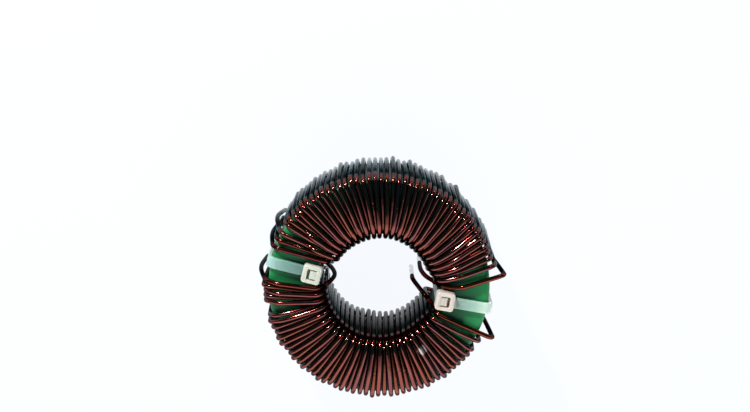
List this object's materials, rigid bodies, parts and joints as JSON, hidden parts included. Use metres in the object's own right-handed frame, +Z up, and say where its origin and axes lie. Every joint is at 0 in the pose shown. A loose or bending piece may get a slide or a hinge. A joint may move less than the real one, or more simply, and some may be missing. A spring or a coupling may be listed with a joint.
{
  "type": "toroidal inductor",
  "caption": "Toroidal inductor: a coated ferrite ring with two opposed windings of enamelled copper wire, held apart by nylon cable ties, with bare wire ends in the bore.",
  "frame": {"origin": "centre of the part's outline on the table, under the ring's axis", "axes": "+Z up along the ring's axis, with the ties' heads on top; +X through the tie whose head reaches into the bore; +Y through the middle of the upper winding"},
  "size_m": [0.0575, 0.0545, 0.0263],
  "materials": {
    "core_coating": "green epoxy coating on ferrite, satin gloss",
    "enamelled_wire": "red-brown enamel on copper, glossy, with tinned ends",
    "nylon": "natural nylon, slightly see-through"
  },
  "bodies": {
    "root": {"core": "core_coating", "winding_upper": "enamelled_wire", "winding_lower": "enamelled_wire", "tie_right": "nylon", "tie_left": "nylon"}
  },
  "joints": []
}
